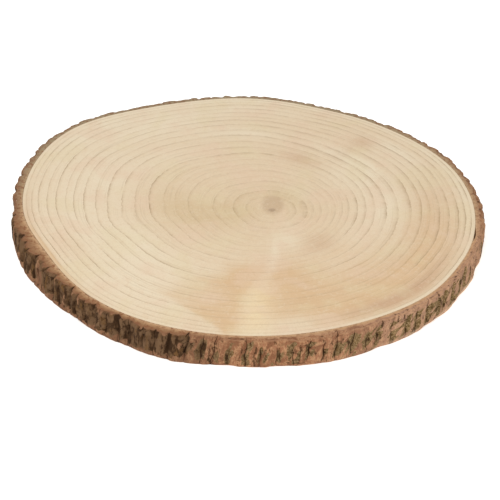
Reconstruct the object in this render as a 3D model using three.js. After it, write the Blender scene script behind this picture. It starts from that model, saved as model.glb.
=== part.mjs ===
// A round slice sawn from a tree trunk: a disc of pale wood inside a ring of ridged bark.
// Millimetres, +Z up. The slice lies flat on z = 0, with the origin under the middle of its box.
// Bearings are degrees, anticlockwise from +X as seen from above.

import * as THREE from "three";

// Driving sizes of the slice
const THICKNESS = 20;
const WOOD_RADIUS = 166.2;
const OUTLINE_CENTRE = new THREE.Vector2(-0.18, 1.49);
const CAMBIUM_GAP = 0.3;
const BARK_THICKNESS = 5.1;

// The trunk isn't round: each lobe adds height * cos(count * (bearing - towards)) to the wood's radius
const LOBES = [
  { count: 2, height: 7.0, towards: -44 },
  { count: 3, height: 2.4, towards: 21 },
  { count: 4, height: 1.2, towards: -26 },
  { count: 5, height: 0.9, towards: 16 },
  { count: 6, height: 0.7, towards: 22 },
  { count: 7, height: 0.6, towards: -15 },
  { count: 8, height: 0.5, towards: 4 },
];

// Local bumps and dents: extra millimetres that fade over the reach, in degrees, to each side
const WOOD_SWELLINGS = [
  { extra: -1.5, towards: 203, reach: 11 },
  { extra: 1.3, towards: 138, reach: 11 },
  { extra: -1.1, towards: 328, reach: 8 },
  { extra: 0.9, towards: 20, reach: 11 },
  { extra: 1.0, towards: 56, reach: 9 },
];
const BARK_SWELLINGS = [
  { extra: 5.4, towards: 200, reach: 15 },
  { extra: 1.7, towards: 222, reach: 22 },
  { extra: 3.4, towards: 252, reach: 10 },
  { extra: 2.4, towards: 285, reach: 14 },
  { extra: 1.4, towards: 165, reach: 20 },
  { extra: 1.0, towards: 352, reach: 14 },
  { extra: 0.8, towards: 22, reach: 12 },
  { extra: -0.9, towards: 122, reach: 7 },
  { extra: -0.9, towards: 146, reach: 7 },
];

// Where the bark spreads at its foot: extra millimetres at the base that fade to none at the top
const FLARES = [
  { extra: 2.6, towards: 208, reach: 15 },
  { extra: 1.2, towards: 275, reach: 50 },
];

// Furrows that split the bark into upright ridges
const FURROWS = 108;
const SPACING_JITTER = 0.28;
const FURROW_HALF_WIDTH = [1.2, 2.3];
const FURROW_DEPTH = [1.0, 2.7];
const FURROW_FOOT = [0.5, 5.5];
const FURROW_HEAD = [12.5, 18.5];
const FURROW_FADE = 3;
const SHALLOW_END = 0.25;
const OPEN_END = 0.85;
const OPEN_ENDED_SHARE = 0.25;
const NARROW_END = 0.5;
const WANDER = 0.45;
const WANDER_LENGTH = 13;

// On one side more furrows run on into the sawn faces, and furrows are deeper: extra shares
const MORE_OPEN_ENDED = [{ extra: 0.45, towards: 222, reach: 38 }];
const DEEPER = [{ extra: 0.45, towards: 212, reach: 28 }];

// The grain's lean: how far it moves sideways for each millimetre that it climbs. It is a slow wave
// round the trunk and a strong lean at one side, with a little of its own for each furrow.
const LEAN_WAVE = { height: 0.12, count: 3, shift: 40 };
const STRONG_LEAN = [{ extra: 0.3, towards: 308, reach: 24 }];
const LEAN_JITTER = 0.14;

// Ridges: a furrow's two flanks stand at their own heights, so neighbours meet in steps, or level
const FLANK_HEIGHT = 1.5;
const LEVEL_SHARE = 0.45;
const CROWN_BULGE = 0.45;
const RELIEF_AT_THICKNESS = 6;
const RELIEF_SCALE = [0.7, 1.4];

// The foot of the wall is worn low, and the edges are rubbed round where the saw cut them
const WORN_BASE = 0.15;
const WORN_HEIGHT = 6;
const EDGE_WEAR = [0.5, 1.1];
const EDGE_BAND = 1.6;
const LEVELS = [0, EDGE_BAND, 5, 10, 15, THICKNESS - EDGE_BAND, THICKNESS];

// The disc of wood, with its sharp sawn edges just eased
const WOOD_SIDES = 216;
const WOOD_EASE = 0.3;

const WOOD_FINISH = new THREE.MeshStandardMaterial({ color: 0xe4d3b4, roughness: 0.62, metalness: 0 });
const BARK_FINISH = new THREE.MeshStandardMaterial({ color: 0x8f6a4a, roughness: 0.92, metalness: 0 });

const { clamp, degToRad, lerp, radToDeg, smoothstep } = THREE.MathUtils;

// A repeatable number from 0 to 1 for one furrow and one of its traits
function chance(furrow, trait) {
  const wave = Math.sin(furrow * 12.9898 + trait * 78.233) * 43758.5453;
  return wave - Math.floor(wave);
}

function between([low, high], share) {
  return lerp(low, high, share);
}

// Smallest turn from one bearing to another, in degrees
function turn(from, to) {
  return ((((to - from + 180) % 360) + 360) % 360) - 180;
}

// The sum of a bell curve for each bump or dent
function swell(swellings, bearing) {
  const bell = ({ extra, towards, reach }) => extra * Math.exp(-((turn(towards, bearing) / reach) ** 2));
  return swellings.reduce((sum, swelling) => sum + bell(swelling), 0);
}

function woodRadius(bearing) {
  const lobeHeight = (lobe) => lobe.height * Math.cos(degToRad(lobe.count * (bearing - lobe.towards)));
  const lobes = LOBES.reduce((sum, lobe) => sum + lobeHeight(lobe), 0);
  return WOOD_RADIUS + lobes + swell(WOOD_SWELLINGS, bearing);
}

function barkThickness(bearing) {
  return BARK_THICKNESS + swell(BARK_SWELLINGS, bearing);
}

function flare(bearing, z) {
  return swell(FLARES, bearing) * (1 - z / THICKNESS);
}

// Thin bark has low relief and thick bark has deep relief
function reliefScale(bearing) {
  return clamp(barkThickness(bearing) / RELIEF_AT_THICKNESS, ...RELIEF_SCALE);
}

function furrowLean(bearing, number) {
  const wave = LEAN_WAVE.height * Math.sin(degToRad(LEAN_WAVE.count * bearing + LEAN_WAVE.shift));
  return wave + swell(STRONG_LEAN, bearing) + LEAN_JITTER * (chance(number, 5) - 0.5);
}

function point(bearing, radius, z) {
  const angle = degToRad(bearing);
  const x = OUTLINE_CENTRE.x + radius * Math.cos(angle);
  const y = OUTLINE_CENTRE.y + radius * Math.sin(angle);
  return new THREE.Vector3(x, y, z);
}

// One furrow's own traits; its number may run past either end of the ring
function furrowTraits(anyNumber) {
  const number = (anyNumber + FURROWS) % FURROWS;
  const bearing = (360 / FURROWS) * (anyNumber + SPACING_JITTER * (chance(number, 1) - 0.5));
  const openEnded = OPEN_ENDED_SHARE + swell(MORE_OPEN_ENDED, bearing);
  const flankHeight = FLANK_HEIGHT * reliefScale(bearing);
  const flanks = [9, 10].map((trait) => flankHeight * (chance(number, trait) - 0.5) * 2);
  const isLevel = chance(number, 11) < LEVEL_SHARE;
  const [flankBefore, flankAfter] = isLevel ? flanks.map(() => (flanks[0] + flanks[1]) / 2) : flanks;
  return {
    bearing,
    halfWidth: between(FURROW_HALF_WIDTH, chance(number, 2)),
    depth: between(FURROW_DEPTH, chance(number, 3)) * reliefScale(bearing) * (1 + swell(DEEPER, bearing)),
    foot: between(FURROW_FOOT, chance(number, 4)),
    head: between(FURROW_HEAD, chance(number, 6)),
    end: chance(number, 7) < openEnded ? OPEN_END : SHALLOW_END,
    lean: furrowLean(bearing, number),
    phase: chance(number, 8),
    flankBefore,
    flankAfter,
  };
}

// How open a furrow is at a height: 1 along its middle, and its end value past its foot and head
function openness(furrow, z) {
  const above = smoothstep(z, furrow.foot - FURROW_FADE, furrow.foot + FURROW_FADE);
  const below = 1 - smoothstep(z, furrow.head - FURROW_FADE, furrow.head + FURROW_FADE);
  return lerp(furrow.end, 1, above * below);
}

// Bearing of a furrow's bottom at a height, after its lean and its slight wander
function furrowLine(furrow, z) {
  const wander = WANDER * Math.sin(2 * Math.PI * (z / WANDER_LENGTH + furrow.phase));
  const sideways = furrow.lean * (z - THICKNESS / 2) + wander;
  return furrow.bearing + radToDeg(sideways / WOOD_RADIUS);
}

// How much of the edge has been rubbed away at a height
function edgeWear(z) {
  const fromFace = Math.min(z, THICKNESS - z);
  const most = z < THICKNESS / 2 ? EDGE_WEAR[0] : EDGE_WEAR[1];
  return most * Math.max(0, 1 - fromFace / EDGE_BAND);
}

// The four columns of points that draw one furrow and the ridge after it, at one height:
// the lip before, the bottom, the lip after, and the crown of the ridge
function furrowColumns(number, z) {
  const furrow = furrowTraits(number);
  const next = furrowTraits(number + 1);
  const width = (each) => each.halfWidth * lerp(NARROW_END, 1, openness(each, z));
  const halfWidth = (each) => radToDeg(width(each) / WOOD_RADIUS);
  const line = furrowLine(furrow, z);
  const lipBefore = line - halfWidth(furrow);
  const lipAfter = line + halfWidth(furrow);
  const crown = (lipAfter + furrowLine(next, z) - halfWidth(next)) / 2;
  const bottom = (furrow.flankBefore + furrow.flankAfter) / 2 - furrow.depth * openness(furrow, z);
  const top = (furrow.flankAfter + next.flankBefore) / 2 + CROWN_BULGE;
  return [
    { bearing: lipBefore, relief: furrow.flankBefore },
    { bearing: line, relief: bottom },
    { bearing: lipAfter, relief: furrow.flankAfter },
    { bearing: crown, relief: top },
  ];
}

function barkPoint({ bearing, relief }, z) {
  const wall = woodRadius(bearing) + CAMBIUM_GAP + barkThickness(bearing) + flare(bearing, z);
  const worn = lerp(WORN_BASE, 1, smoothstep(z, 0, WORN_HEIGHT));
  return point(bearing, wall + relief * worn - edgeWear(z), z);
}

function innerPoint({ bearing }, z) {
  return point(bearing, woodRadius(bearing) + CAMBIUM_GAP, z);
}

// The ring's section at one column, as a loop: up the furrowed outside, then down the inside
function barkSections() {
  const sections = [];
  for (let number = 0; number < FURROWS; number += 1) {
    const columnsByLevel = LEVELS.map((z) => furrowColumns(number, z));
    const innerColumns = furrowColumns(number, THICKNESS / 2);
    innerColumns.forEach((inner, column) => {
      const outside = LEVELS.map((z, level) => barkPoint(columnsByLevel[level][column], z));
      sections.push([...outside, innerPoint(inner, THICKNESS), innerPoint(inner, 0)]);
    });
  }
  return sections;
}

// A closed ring through equal loops of points, each loop joined to the next and the last to the first
function ringGeometry(sections) {
  const loop = sections[0].length;
  const index = [];
  sections.forEach((section, column) => {
    const here = column * loop;
    const there = ((column + 1) % sections.length) * loop;
    for (let row = 0; row < loop; row += 1) {
      const next = (row + 1) % loop;
      index.push(here + row, there + row, there + next);
      index.push(here + row, there + next, here + next);
    }
  });
  const geometry = new THREE.BufferGeometry().setFromPoints(sections.flat());
  geometry.setIndex(index);
  geometry.computeVertexNormals();
  return geometry;
}

function woodGeometry() {
  const outline = new THREE.Shape();
  for (let side = 0; side < WOOD_SIDES; side += 1) {
    const bearing = (360 / WOOD_SIDES) * side;
    const { x, y } = point(bearing, woodRadius(bearing), 0);
    if (side === 0) outline.moveTo(x, y);
    else outline.lineTo(x, y);
  }
  const geometry = new THREE.ExtrudeGeometry(outline, {
    depth: THICKNESS - 2 * WOOD_EASE,
    bevelThickness: WOOD_EASE,
    bevelSize: WOOD_EASE,
    bevelOffset: -WOOD_EASE,
    bevelSegments: 1,
  });
  return geometry.translate(0, 0, WOOD_EASE);
}

function namedMesh(name, geometry, material) {
  const mesh = new THREE.Mesh(geometry, material);
  mesh.name = name;
  return mesh;
}

const slice = new THREE.Group();
slice.add(namedMesh("wood", woodGeometry(), WOOD_FINISH));
slice.add(namedMesh("bark", ringGeometry(barkSections()), BARK_FINISH));

export default slice;
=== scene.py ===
"""A slice sawn across a tree trunk: sanded pale end grain inside a ring of furrowed bark.

Shapes are worked out in millimetres and go into the meshes in metres. Bearings are degrees,
anticlockwise from +X as seen from above. A share is how far a point lies on the way from the pith
to the bark, from 0 to 1.
"""

import math
from collections import namedtuple

import bpy
import numpy as np
from bpy.props import FloatProperty, FloatVectorProperty, PointerProperty
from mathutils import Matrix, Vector


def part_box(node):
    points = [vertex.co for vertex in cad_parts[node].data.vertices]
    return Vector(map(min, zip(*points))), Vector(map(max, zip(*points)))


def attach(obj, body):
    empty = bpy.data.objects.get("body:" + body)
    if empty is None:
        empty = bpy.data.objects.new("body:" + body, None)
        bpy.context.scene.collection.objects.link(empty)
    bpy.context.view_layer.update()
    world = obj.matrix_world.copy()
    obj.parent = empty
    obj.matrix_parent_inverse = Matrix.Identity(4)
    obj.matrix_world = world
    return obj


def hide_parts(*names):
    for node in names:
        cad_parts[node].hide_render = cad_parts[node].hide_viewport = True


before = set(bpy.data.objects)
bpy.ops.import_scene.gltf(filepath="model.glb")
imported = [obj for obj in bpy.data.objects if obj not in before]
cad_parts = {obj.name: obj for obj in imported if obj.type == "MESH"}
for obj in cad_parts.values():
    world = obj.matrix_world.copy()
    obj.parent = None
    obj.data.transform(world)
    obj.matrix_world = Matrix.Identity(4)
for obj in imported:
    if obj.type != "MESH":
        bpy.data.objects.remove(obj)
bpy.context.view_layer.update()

bl_info = {
    "name": "Wood Slice",
    "version": (1, 0, 0),
    "blender": (4, 5, 0),
    "location": "View3D > Sidebar > Wood Slice",
    "description": "Builds a sawn slice of a tree trunk with its growth rings and its bark",
    "category": "Add Mesh",
}

MM = 0.001
FULL_TURN = 360.0

# The trunk's outline, as in the solids
THICKNESS = (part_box("wood")[1].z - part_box("wood")[0].z) / MM
WOOD_RADIUS = 166.2
OUTLINE_CENTRE = (-0.18, 1.49)
CAMBIUM_GAP = 0.3
BARK_THICKNESS = 5.1

# Each lobe adds height * cos(count * (bearing - towards)) to the wood's radius
Lobe = namedtuple("Lobe", "count height towards")
LOBES = (
    Lobe(2, 7.0, -44),
    Lobe(3, 2.4, 21),
    Lobe(4, 1.2, -26),
    Lobe(5, 0.9, 16),
    Lobe(6, 0.7, 22),
    Lobe(7, 0.6, -15),
    Lobe(8, 0.5, 4),
)

# Local bumps and dents: extra millimetres that fade over the reach, in degrees, to each side
Swelling = namedtuple("Swelling", "extra towards reach")
WOOD_SWELLINGS = (
    Swelling(-1.5, 203, 11),
    Swelling(1.3, 138, 11),
    Swelling(-1.1, 328, 8),
    Swelling(0.9, 20, 11),
    Swelling(1.0, 56, 9),
)
BARK_SWELLINGS = (
    Swelling(5.4, 200, 15),
    Swelling(1.7, 222, 22),
    Swelling(3.4, 252, 10),
    Swelling(2.4, 285, 14),
    Swelling(1.4, 165, 20),
    Swelling(1.0, 352, 14),
    Swelling(0.8, 22, 12),
    Swelling(-0.9, 122, 7),
    Swelling(-0.9, 146, 7),
)

# Where the bark spreads at its foot: extra millimetres at the base that fade upwards to none at the top
FLARES = (
    Swelling(2.6, 208, 15),
    Swelling(1.2, 275, 50),
)

# Furrows of the bark, as in the solids: how many, how unevenly spaced, and the limits of their sizes
FURROWS = 108
SPACING_JITTER = 0.28
FURROW_HALF_WIDTH = (1.2, 2.3)
FURROW_DEPTH = (1.0, 2.7)
FURROW_FOOT = (0.5, 5.5)
FURROW_HEAD = (12.5, 18.5)

# Past its foot and its head a furrow fades to a shallow or an open end, and narrows
FURROW_FADE = 3
SHALLOW_END = 0.25
OPEN_END = 0.85
OPEN_ENDED_SHARE = 0.25
NARROW_END = 0.5

# On the dark side more furrows are open-ended, and they are deeper
MORE_OPEN_ENDED = (Swelling(0.45, 222, 38),)
DEEPER = (Swelling(0.45, 212, 28),)

# Each furrow's line sways sideways, and leans: in a wave of a height, a count and a shift, and most at
# one side, with a little chance
WANDER = 0.45
WANDER_LENGTH = 13
LEAN_WAVE = (0.12, 3, 40)
STRONG_LEAN = (Swelling(0.3, 308, 24),)
LEAN_JITTER = 0.14

# Ridges: their flanks stand out or in, some at one level, and they bulge in the middle. Relief is in
# full where the bark has this thickness, and scales with it between the two limits.
FLANK_HEIGHT = 1.5
LEVEL_SHARE = 0.45
CROWN_BULGE = 0.45
RELIEF_AT_THICKNESS = 6
RELIEF_SCALE = (0.7, 1.4)

# The foot is worn low up to a height, and both sawn edges are rounded within a band, the top one more
WORN_BASE = 0.15
WORN_HEIGHT = 6
EDGE_WEAR = (0.5, 1.1)
EDGE_BAND = 1.6

# The pith, the middle of the grey heart round it, and the heart's half widths
PITH = (18.2, -9.7)
HEART_MIDDLE = (19.5, -3.3)
HEART_REACH = (9.0, 15.0)
PITH_MIDDLE = (18.9, -10.5)
PITH_REACH = (2.9, 2.7)

# Each year's dark line: its share of the way to the bark, and how strong it is
Ring = namedtuple("Ring", "share strength")
RINGS = (
    Ring(0.05, 0.05),
    Ring(0.08, 0.15),
    Ring(0.112, 0.45),
    Ring(0.165, 0.50),
    Ring(0.20, 0.2),
    Ring(0.24, 0.4),
    Ring(0.28, 0.15),
    Ring(0.326, 0.4),
    Ring(0.372, 0.3),
    Ring(0.41, 0.5),
    Ring(0.462, 0.95),
    Ring(0.5125, 0.5),
    Ring(0.562, 0.7),
    Ring(0.62, 0.95),
    Ring(0.671, 0.65),
    Ring(0.726, 0.7),
    Ring(0.772, 0.8),
    Ring(0.8075, 0.6),
    Ring(0.851, 1.0),
    Ring(0.891, 0.8),
    Ring(0.931, 0.9),
    Ring(0.96, 1.1),
    Ring(0.984, 0.95),
)

# How strong the lines are round the pith: strongest on the right and left, faint in front
LINE_BEARINGS = (0, 20, 45, 70, 90, 110, 135, 160, 200, 220, 245, 270, 300, 330)
LINE_STRENGTHS = (1.10, 0.95, 0.75, 0.70, 0.70, 0.70, 0.75, 1.05, 1.10, 0.88, 0.72, 0.48, 0.60, 1.00)

# Between these shares the years' centre slides from the pith to the middle of the outline
CENTRE_SLIDE = (0.10, 0.64)

# Columns round the disc, and rows for each year
WOOD_COLUMNS = 600
ROWS_A_RING = 4

# Where the years bulge outward or sag: by how much, towards which bearing, and at which share
Bulge = namedtuple("Bulge", "size bearing reach share spread")
BULGES = (
    Bulge(0.026, 198, 11, 0.62, 0.17),
    Bulge(-0.021, 137, 11, 0.74, 0.17),
    Bulge(-0.020, 38, 32, 0.63, 0.07),
)

# Slow waves and small jags of the years' lines: their size, and how many go round
RING_WAVES = (0.0022, 36)
RING_JAGS = (0.0012, 150)

# Stains: where they lie as seen from the pith, how far they fade, and how strong they are. Warm ones turn
# the wood tan where their strength is above 0 and pale where it is below, and olive ones turn it dull
# above 0 and straw-coloured below.
Stain = namedtuple("Stain", "bearing share turn spread strength")
WARM_STAINS = (
    Stain(2, 0.47, 10, 0.05, -0.30),
    Stain(3, 0.61, 22, 0.09, -0.80),
    Stain(18, 0.975, 30, 0.03, -0.80),
    Stain(35, 0.82, 20, 0.10, -0.40),
    Stain(38, 0.52, 22, 0.14, -0.70),
    Stain(42, 0.87, 12, 0.04, -0.70),
    Stain(45, 0.20, 25, 0.06, -0.35),
    Stain(50, 0.64, 18, 0.045, -1.10),
    Stain(90, 0.985, 50, 0.03, -0.80),
    Stain(95, 0.89, 18, 0.06, -0.55),
    Stain(100, 0.64, 14, 0.05, -0.70),
    Stain(104, 0.975, 18, 0.03, -0.50),
    Stain(122, 0.81, 17, 0.14, -0.60),
    Stain(136, 0.52, 14, 0.07, -0.40),
    Stain(140, 0.92, 14, 0.05, -0.70),
    Stain(158, 0.63, 13, 0.10, -0.45),
    Stain(179, 0.85, 10, 0.05, 0.22),
    Stain(190, 0.80, 70, 0.26, -0.75),
    Stain(200, 0.87, 10, 0.05, 0.60),
    Stain(200, 0.994, 18, 0.014, 2.00),
    Stain(206, 0.60, 15, 0.08, -0.60),
    Stain(232, 0.76, 20, 0.22, -0.40),
    Stain(237, 0.78, 6, 0.05, 0.35),
    Stain(243, 0.58, 9, 0.06, -0.80),
    Stain(250, 0.87, 5, 0.08, 0.35),
    Stain(261, 0.90, 5, 0.05, 0.35),
    Stain(264, 0.58, 18, 0.10, 0.85),
    Stain(266, 0.73, 5, 0.09, 0.35),
    Stain(276, 0.94, 7, 0.06, -0.85),
    Stain(278, 0.78, 18, 0.24, 1.00),
    Stain(285, 0.27, 13, 0.09, -0.90),
    Stain(295, 0.90, 10, 0.04, 0.30),
    Stain(300, 0.16, 14, 0.06, -0.50),
    Stain(300, 0.87, 9, 0.03, 0.60),
    Stain(311, 0.53, 9, 0.06, 0.20),
    Stain(312, 0.993, 34, 0.010, -1.10),
    Stain(320, 0.80, 28, 0.15, 1.05),
    Stain(327, 0.73, 15, 0.08, -0.60),
    Stain(335, 0.52, 20, 0.10, -0.25),
    Stain(354, 0.82, 20, 0.09, 0.35),
)
BROWN_STAINS = (
    Stain(4, 0.82, 24, 0.09, 0.18),
    Stain(54, 0.81, 4.5, 0.05, 0.55),
    Stain(55, 0.68, 4.5, 0.10, 0.25),
    Stain(72, 0.48, 12, 0.05, 0.60),
    Stain(180, 0.975, 10, 0.02, 0.30),
    Stain(303, 0.44, 14, 0.05, 0.35),
    Stain(306, 0.938, 17, 0.036, 1.20),
    Stain(308, 0.36, 14, 0.07, 0.40),
    Stain(328, 0.925, 14, 0.025, 0.35),
)
OLIVE_STAINS = (
    Stain(70, 0.12, 60, 0.06, 0.55),
    Stain(172, 0.40, 15, 0.08, 0.40),
    Stain(186, 0.14, 40, 0.07, 0.45),
    Stain(186, 0.30, 12, 0.10, 0.30),
    Stain(188, 0.27, 26, 0.15, 0.95),
    Stain(265, 0.70, 6, 0.08, -0.40),
    Stain(265, 0.86, 5, 0.14, -0.70),
)

# The wood round the pith is olive too: how strongly, and how far out
CENTRE_OLIVE = (0.30, 0.28)

# A wedge of tan with one sharp side: that side's bearing and blur at each share, and its other side
WEDGE_SHARES = (0.50, 0.80, 0.84, 0.88, 0.92, 0.96, 1.0)
WEDGE_BEARINGS = (236, 236, 242, 248.5, 253, 256.5, 258)
WEDGE_BLURS = (10, 7, 1.4, 0.9, 0.8, 0.8, 0.8)
WEDGE_END = (258, 263)
WEDGE_INNER = (0.46, 0.62)
WEDGE_STRENGTH = 0.9

# A pale ray from the heart to the bark: its bearing at each share, its half width and its strength
RAY_SHARES = (0.20, 0.35, 0.50, 0.60, 0.75, 0.97)
RAY_BEARINGS = (274, 273, 270, 267, 264, 266)
RAY_REACH = 3.6
RAY_STRENGTH = -0.75

# Fine bark: where the columns across a furrow stand, from lip to lip, how many cross a ridge, and the
# rows up the wall and across the sawn faces
FURROW_STEPS = (-1.0, -0.55, -0.22, 0.0, 0.22, 0.55)
RIDGE_STEPS = 7
WALL_ROWS = 48
SAWN_ROWS = 9

# The share of a furrow's depth that the narrow crack at its bottom takes up
CRACK_SHARE = 0.5

# The grain wavers sideways in cells that go this many times round and are this many millimetres high,
# and the skin's streaks lean more than the furrows do at one side
WAVER_CELLS = 130
WAVER_HEIGHT = 6
STREAK_LEANS = (Swelling(1.0, 308, 24),)

# Fine marks of the bark: the width and height of one in millimetres, and the seed of its noise
Marks = namedtuple("Marks", "width height seed")
FIBRES = Marks(1.7, 6, 21)
LUMPS = Marks(5, 7, 31)
FLAKES = Marks(4.2, 7.5, 41)
CHIPS = Marks(3.2, 4, 51)
PATCHES = Marks(9, 16, 61)
STREAKS = Marks(2.4, 11, 71)
OPEN_EDGES = Marks(9, 9, 81)
SCALLOPS = Marks(15, 60, 101)

# How deep the marks are cut in full relief, in millimetres, and how high the foot's scallops reach
FIBRE_DEPTH = 0.25
LUMP_DEPTH = 0.5
FLAKE_DEPTH = 0.55
OPEN_EDGE_DEPTH = 0.6
CHIP_DEPTH = 0.9
SCALLOP_REACH = 5

# Where the weathered skin and the dark gouges begin and are in full, on a scale that rises with their
# cover, near furrows, and in the brighter patches and streaks of the noise
SKIN_LIMITS = (0.60, 1.10)
GOUGE_LIMITS = (0.72, 1.12)

# The skin's upper and lower ends stray with the streaks by this many millimetres from least to most
RAGGED_EDGE = 7.0

# Places where the bark has come away from the wood: bearing, half width in degrees, gap in millimetres
CRACKS = ((344.5, 3.6, 1.3), (121, 2.5, 0.5), (229, 2.2, 0.6))

# Round the trunk, by bearing: how much of the bark keeps its weathered skin, how dark that side of the
# bark is, partly its own colour and partly painted shade, the share of the sawn top, from its outer
# edge, that has been rubbed, how olive-grey the sawn bark is, how strong the painted highlight along the
# foot is, and how far down from the top and up from the base the skin has been rubbed off
SKIN_BEARINGS = (0, 60, 150, 180, 190, 256, 266, 298, 306, 330, 342)
SKIN_COVER = (0.40, 0.55, 0.55, 0.75, 1.06, 0.92, 0.42, 0.40, 0.62, 0.66, 0.42)
SKIN_DARKNESS_AND_SHADE = (0.4, 0.7, 0.7, 0.8, 0.95, 1.0, 0.40, 0.15, 0.0, 0.0, 0.08)
RIM_WEAR = (0.30, 0.15, 0.10, 0.10, 0.10, 0.15, 0.40, 0.45, 0.42, 0.40, 0.35)
RIM_GREY = (0.25, 0.85, 0.75, 0.30, 0.05, 0.0, 0.0, 0.0, 0.0, 0.0, 0.0)
FOOT_HIGHLIGHT = (0.40, 0.0, 0.0, 0.0, 0.0, 0.0, 0.0, 0.05, 0.35, 0.85, 0.85)
SKIN_TOP = (3.5, 3.0, 2.5, 0.6, -1.5, -0.6, 2.4, 4.0, 3.0, 3.0, 3.5)
SKIN_FOOT = (3.0, 3.0, 3.0, 4.0, 4.6, 4.2, 3.0, 2.5, 2.5, 2.5, 3.0)

# The painted highlight along the foot is in full up to the first of these heights, and gone at the second
FOOT_HIGHLIGHT_LIMITS = (1.0, 3.5)


def linear(hex_colour):
    """Linear RGBA of an sRGB colour written as RRGGBB."""
    values = [int(hex_colour[place:place + 2], 16) / 255 for place in (0, 2, 4)]
    curve = [v / 12.92 if v <= 0.04045 else ((v + 0.055) / 1.055) ** 2.4 for v in values]
    return (*curve, 1.0)


# Repeatable chance and noise

def chance(number, trait):
    """The fraction left by a large multiple of a sine: the same value each time, from 0 to 1."""
    wave = np.sin(number * 12.9898 + trait * 78.233) * 43758.5453
    return wave - np.floor(wave)


def lattice(column, row, seed):
    """One value from 0 to 1 for each crossing of a grid."""
    wave = np.sin(column * 127.1 + row * 311.7 + seed * 74.7) * 43758.5453
    return wave - np.floor(wave)


def smooth(value, low, high):
    """0 below low, 1 above high, and an S-curve between them."""
    share = np.clip((value - low) / (high - low), 0, 1)
    return share * share * (3 - 2 * share)


def noise(across, up, period, seed):
    """Soft noise from 0 to 1: lattice values blended along both axes, repeating after period columns."""
    column, row = np.floor(across), np.floor(up)
    x, y = across - column, up - row
    x, y = x * x * (3 - 2 * x), y * y * (3 - 2 * y)
    left, right = np.mod(column, period), np.mod(column + 1, period)
    low = lattice(left, row, seed) * (1 - x) + lattice(right, row, seed) * x
    high = lattice(left, row + 1, seed) * (1 - x) + lattice(right, row + 1, seed) * x
    return low * (1 - y) + high * y


def layered_noise(across, up, period, seed, layers=3):
    """Soft noise with finer layers on top, each twice as fine and half as strong."""
    total, weight, sum_of_weights = 0, 1.0, 0
    for layer in range(layers):
        fine = 2 ** layer
        total = total + weight * noise(across * fine, up * fine, period * fine, seed + layer)
        sum_of_weights += weight
        weight /= 2
    return total / sum_of_weights


def flakes(across, up, period, seed):
    """Cells round scattered centres: each point's own cell value, and how far it is from the cell's
    border."""
    column, row = np.floor(across), np.floor(up)
    nearest = np.full(across.shape, 9.0)
    second = np.full(across.shape, 9.0)
    value = np.zeros(across.shape)
    for step in range(9):
        cell_column, cell_row = column + step % 3 - 1, row + step // 3 - 1
        wrapped = np.mod(cell_column, period)
        x = cell_column + lattice(wrapped, cell_row, seed) - across
        y = cell_row + lattice(wrapped, cell_row, seed + 5) - up
        distance = np.hypot(x, y)
        closer = distance < nearest
        second = np.where(closer, nearest, np.minimum(second, distance))
        value = np.where(closer, lattice(wrapped, cell_row, seed + 9), value)
        nearest = np.where(closer, distance, nearest)
    return value, second - nearest


# Outline of the trunk

def turn(start, end):
    """Smallest turn from one bearing to another, in degrees."""
    return np.mod(end - start + 180, FULL_TURN) - 180


def swell(swellings, bearing):
    """The sum of a bell curve for each bump or dent."""
    return sum(each.extra * np.exp(-(turn(each.towards, bearing) / each.reach) ** 2) for each in swellings)


def wood_radius(bearing):
    """The mean radius, a cosine wave for each lobe, and the local bumps and dents."""
    waves = sum(lobe.height * np.cos(np.radians(lobe.count * (bearing - lobe.towards))) for lobe in LOBES)
    return WOOD_RADIUS + waves + swell(WOOD_SWELLINGS, bearing)


def bark_thickness(bearing):
    """The usual thickness and a bell curve for each swelling."""
    return BARK_THICKNESS + swell(BARK_SWELLINGS, bearing)


def flare(bearing, z):
    """The foot's spread at a height: a bell curve for each flare, in full at the base and none at the
    top."""
    return swell(FLARES, bearing) * (1 - z / THICKNESS)


def relief_scale(bearing):
    """Thin bark has low relief and thick bark has deep relief."""
    return np.clip(bark_thickness(bearing) / RELIEF_AT_THICKNESS, *RELIEF_SCALE)


def grain_lean(bearing):
    """How far the bark's grain moves sideways for each millimetre that it climbs: a slow sine wave, and a
    bell curve where it leans most."""
    height, count, shift = LEAN_WAVE
    return height * np.sin(np.radians(count * bearing + shift)) + swell(STRONG_LEAN, bearing)


def around(bearing, radius, height):
    """Points at a bearing and a radius about the middle of the outline."""
    angle = np.radians(bearing)
    x = OUTLINE_CENTRE[0] + radius * np.cos(angle)
    y = OUTLINE_CENTRE[1] + radius * np.sin(angle)
    return np.stack([x, y, np.broadcast_to(height, x.shape)], axis=-1)


# Putting surfaces into meshes

def grid_faces(rows, columns, first=0):
    """Four-sided faces between neighbouring rows of points, with the last column joined to the first."""
    row, column = np.meshgrid(np.arange(rows - 1), np.arange(columns), indexing="ij")
    here = first + row * columns + column
    beside = first + row * columns + (column + 1) % columns
    return np.stack([here, beside, beside + columns, here + columns], axis=-1).reshape(-1, 4)


def fan_faces(pole, first, columns, facing_up):
    """Triangles from a pole to the ring of points round it."""
    here = first + np.arange(columns)
    beside = first + (np.arange(columns) + 1) % columns
    pair = (here, beside) if facing_up else (beside, here)
    return np.stack([np.full(columns, pole), *pair], axis=-1)


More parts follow.
